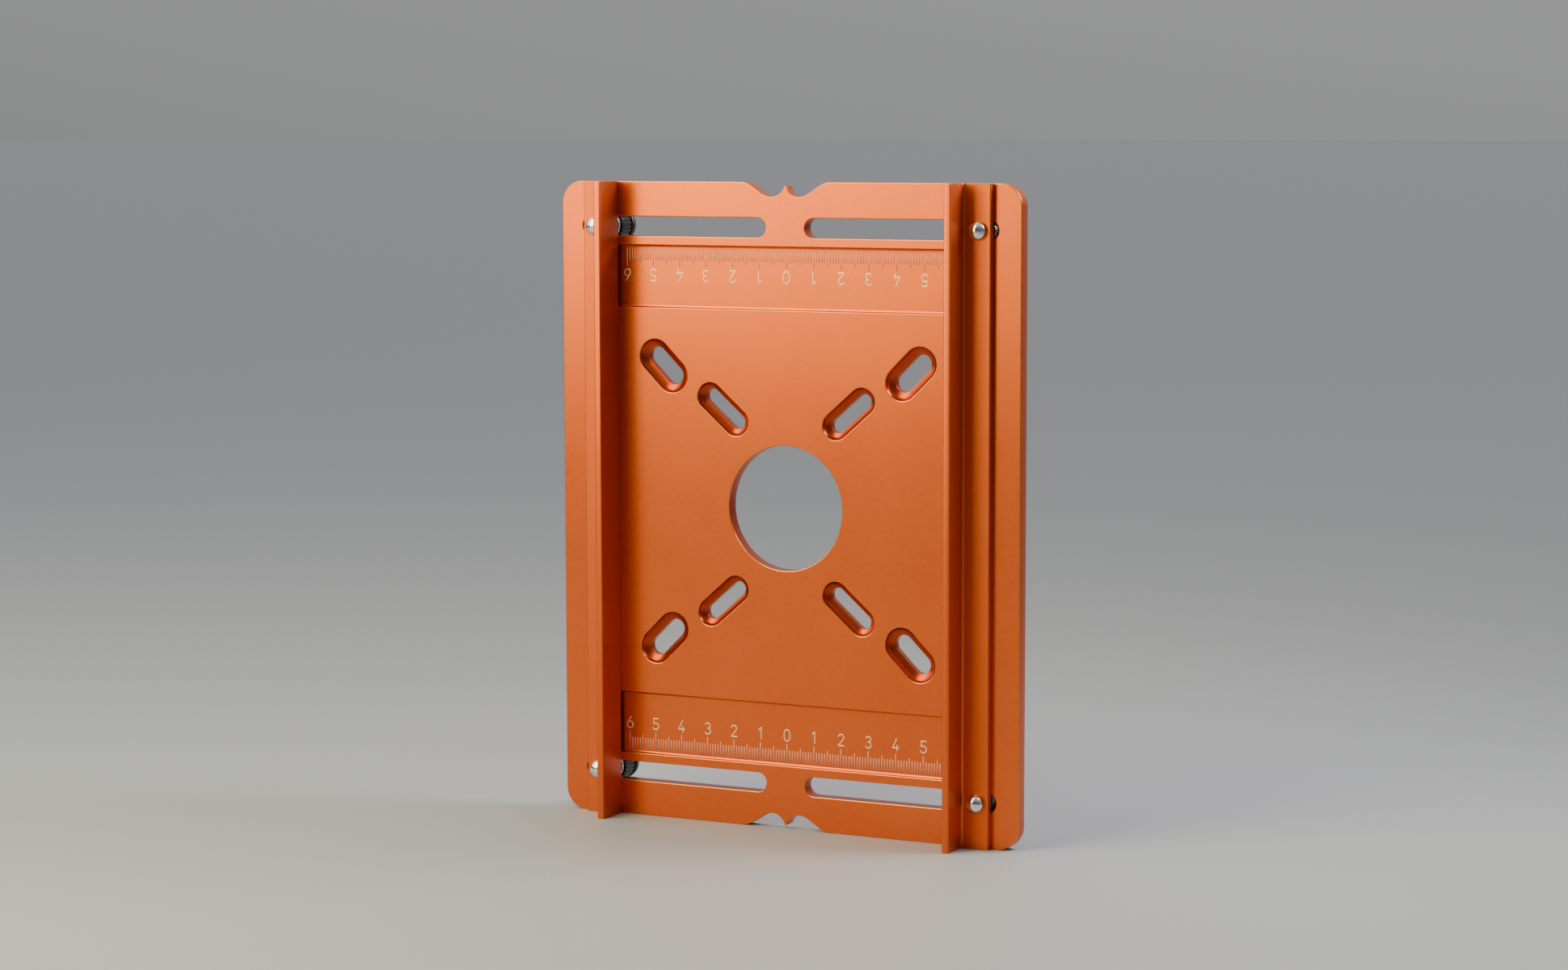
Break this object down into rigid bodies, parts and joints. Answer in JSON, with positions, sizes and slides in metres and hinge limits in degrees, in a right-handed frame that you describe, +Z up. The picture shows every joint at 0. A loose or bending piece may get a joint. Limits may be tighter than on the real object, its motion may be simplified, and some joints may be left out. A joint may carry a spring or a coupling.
{
  "type": "router base plate",
  "caption": "Flat aluminium router base plate with a round cutter hole, diagonal screw slots, scale bands and sliding edge fences locked by thumb nuts behind it.",
  "frame": {"origin": "on the ground plane, under the middle of the whole part's box, with the plate standing on its lower edge", "axes": "+Z up along the plate's long side; +X to the right as the scale side is looked at; +Y from the scale side through to the thumb nuts behind"},
  "size_m": [0.1688, 0.0282, 0.2162],
  "materials": {
    "anodised_aluminium": "satin bead-blasted, dyed orange",
    "burnt_marks": "laser marks, the dye burnt out of the oxide",
    "polished_steel": "polished",
    "plated_steel": "bright zinc plate",
    "black_moulding": "black, half gloss"
  },
  "bodies": {
    "plate": {"base_plate": "anodised_aluminium"},
    "left_fence": {"left_fence": "anodised_aluminium", "left_upper_stud": "polished_steel", "left_lower_stud": "polished_steel"},
    "right_fence": {"right_fence": "anodised_aluminium", "right_upper_stud": "polished_steel", "right_lower_stud": "polished_steel"},
    "left_upper_washer": {"left_upper_washer": "plated_steel"},
    "left_upper_nut": {"left_upper_insert": "plated_steel", "left_upper_grip": "black_moulding"},
    "left_lower_washer": {"left_lower_washer": "plated_steel"},
    "left_lower_nut": {"left_lower_insert": "plated_steel", "left_lower_grip": "black_moulding"},
    "right_upper_washer": {"right_upper_washer": "plated_steel"},
    "right_upper_nut": {"right_upper_insert": "plated_steel", "right_upper_grip": "black_moulding"},
    "right_lower_washer": {"right_lower_washer": "plated_steel"},
    "right_lower_nut": {"right_lower_insert": "plated_steel", "right_lower_grip": "black_moulding"}
  },
  "joints": [
    {"name": "left_fence_slide", "type": "slide", "parent": "plate", "child": "left_fence", "axis": [1, 0, 0], "range_m": [-0.0036, 0.0604]},
    {"name": "right_fence_slide", "type": "slide", "parent": "plate", "child": "right_fence", "axis": [-1, 0, 0], "range_m": [-0.0036, 0.0604]},
    {"name": "left_upper_nut_travel", "type": "slide", "parent": "left_fence", "child": "left_upper_washer", "axis": [0, 1, 0], "range_m": [0, 0.0032]},
    {"name": "left_upper_nut_turn", "type": "hinge", "parent": "left_upper_washer", "child": "left_upper_nut", "pos_m": [-0.0702, 0.0089, 0.2011], "axis": [0, 1, 0], "range_deg": [0, 1440]},
    {"name": "left_lower_nut_travel", "type": "slide", "parent": "left_fence", "child": "left_lower_washer", "axis": [0, 1, 0], "range_m": [0, 0.0032]},
    {"name": "left_lower_nut_turn", "type": "hinge", "parent": "left_lower_washer", "child": "left_lower_nut", "pos_m": [-0.0702, 0.0089, 0.0151], "axis": [0, 1, 0], "range_deg": [0, 1440]},
    {"name": "right_upper_nut_travel", "type": "slide", "parent": "right_fence", "child": "right_upper_washer", "axis": [0, 1, 0], "range_m": [0, 0.0032]},
    {"name": "right_upper_nut_turn", "type": "hinge", "parent": "right_upper_washer", "child": "right_upper_nut", "pos_m": [0.0702, 0.0089, 0.2011], "axis": [0, 1, 0], "range_deg": [0, 1440]},
    {"name": "right_lower_nut_travel", "type": "slide", "parent": "right_fence", "child": "right_lower_washer", "axis": [0, 1, 0], "range_m": [0, 0.0032]},
    {"name": "right_lower_nut_turn", "type": "hinge", "parent": "right_lower_washer", "child": "right_lower_nut", "pos_m": [0.0702, 0.0089, 0.0151], "axis": [0, 1, 0], "range_deg": [0, 1440]}
  ],
  "couplings": [
    {"joint": "left_upper_nut_turn", "follows": "left_upper_nut_travel", "rad_per_m": 7853.9},
    {"joint": "left_lower_nut_turn", "follows": "left_lower_nut_travel", "rad_per_m": 7853.9},
    {"joint": "right_upper_nut_turn", "follows": "right_upper_nut_travel", "rad_per_m": 7853.9},
    {"joint": "right_lower_nut_turn", "follows": "right_lower_nut_travel", "rad_per_m": 7853.9}
  ]
}
